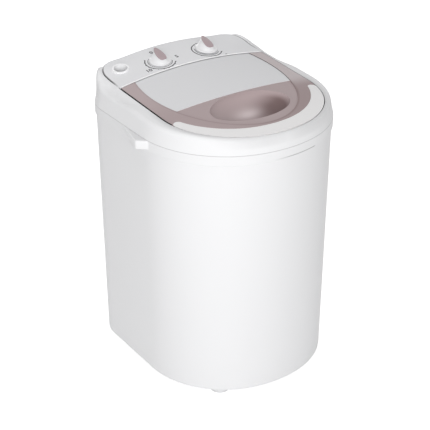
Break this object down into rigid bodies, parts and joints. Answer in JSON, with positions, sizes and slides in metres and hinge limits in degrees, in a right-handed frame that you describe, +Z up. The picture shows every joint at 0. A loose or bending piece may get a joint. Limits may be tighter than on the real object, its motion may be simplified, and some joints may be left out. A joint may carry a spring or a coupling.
{
  "type": "mini washing machine",
  "caption": "Small free-standing washer with a bowed front shell, crowned top, tinted hinged lid with a finger scoop, control knobs and a belt-driven pulsator in its tub.",
  "frame": {"origin": "on the floor, under the middle of the machine's box", "axes": "+Z up, front towards -Y, +X to the right of a person who faces the front"},
  "size_m": [0.3888, 0.3816, 0.5568],
  "materials": {
    "white_shell": "satin moulded",
    "panel_grey": "fine grain",
    "rose_tint": "glossy",
    "inlay_grey": "satin",
    "tub_white": "satin moulded",
    "base_plastic": "moulded",
    "foot_rubber": "matt",
    "dark_rubber": "matt",
    "steel": "machined",
    "bush_brass": "sintered",
    "motor_metal": "plain",
    "cast_alloy": "cast",
    "capacitor_case": "moulded"
  },
  "bodies": {
    "housing": {"outer_body": "white_shell", "base_cover": "base_plastic", "rubber_feet": "foot_rubber", "base_screws": "steel", "wash_tub": "tub_white", "tub_rim_seal": "dark_rubber", "upper_casing": "white_shell", "control_panel": "panel_grey", "water_inlet": "white_shell", "hinge_brackets": "white_shell", "timer_body": "base_plastic", "selector_body": "base_plastic", "bearing_housing": "base_plastic", "housing_screws": "steel", "shaft_bushes": "bush_brass", "shaft_seal": "dark_rubber", "drive_belt": "dark_rubber", "motor_stator": "motor_metal", "motor_end_caps": "cast_alloy", "motor_bracket": "motor_metal", "motor_screws": "steel", "capacitor": "capacitor_case", "drain_pipe": "base_plastic", "drain_outlet": "base_plastic", "cord_gland": "dark_rubber"},
    "lid": {"lid_frame": "white_shell", "lid_cover": "rose_tint", "lid_inlay": "inlay_grey", "hinge_pins": "steel"},
    "timer_dial": {"timer_knob": "white_shell", "timer_pointer": "rose_tint", "timer_shaft": "steel"},
    "selector_dial": {"selector_knob": "white_shell", "selector_pointer": "rose_tint", "selector_shaft": "steel"},
    "pulsator": {"pulsator": "tub_white", "pulsator_screw": "steel", "drive_shaft": "steel", "driven_pulley": "base_plastic", "pulley_nut": "steel"},
    "motor_rotor": {"motor_rotor": "motor_metal", "motor_shaft": "steel", "motor_pulley": "cast_alloy"}
  },
  "joints": [
    {"name": "lid_hinge", "type": "hinge", "parent": "housing", "child": "lid", "pos_m": [0, 0.0805, 0.518], "axis": [-1, 0, 0], "range_deg": [0, 95]},
    {"name": "timer_turn", "type": "hinge", "parent": "housing", "child": "timer_dial", "pos_m": [-0.04778, 0.1267, 0.51714], "axis": [0.0679, 0.0946, -0.9932], "range_deg": [0, 300]},
    {"name": "selector_turn", "type": "hinge", "parent": "housing", "child": "selector_dial", "pos_m": [0.04785, 0.12661, 0.51813], "axis": [-0.0679, 0.0946, -0.9932], "range_deg": [-150, 150]},
    {"name": "pulsator_spin", "type": "hinge", "parent": "housing", "child": "pulsator", "pos_m": [0, -0.043, 0.037], "axis": [0, 0, 1], "continuous": true},
    {"name": "motor_spin", "type": "hinge", "parent": "housing", "child": "motor_rotor", "pos_m": [0, 0.093, 0.037], "axis": [0, 0, 1], "continuous": true}
  ],
  "couplings": [
    {"joint": "motor_spin", "follows": "pulsator_spin", "ratio": 4.5739}
  ]
}
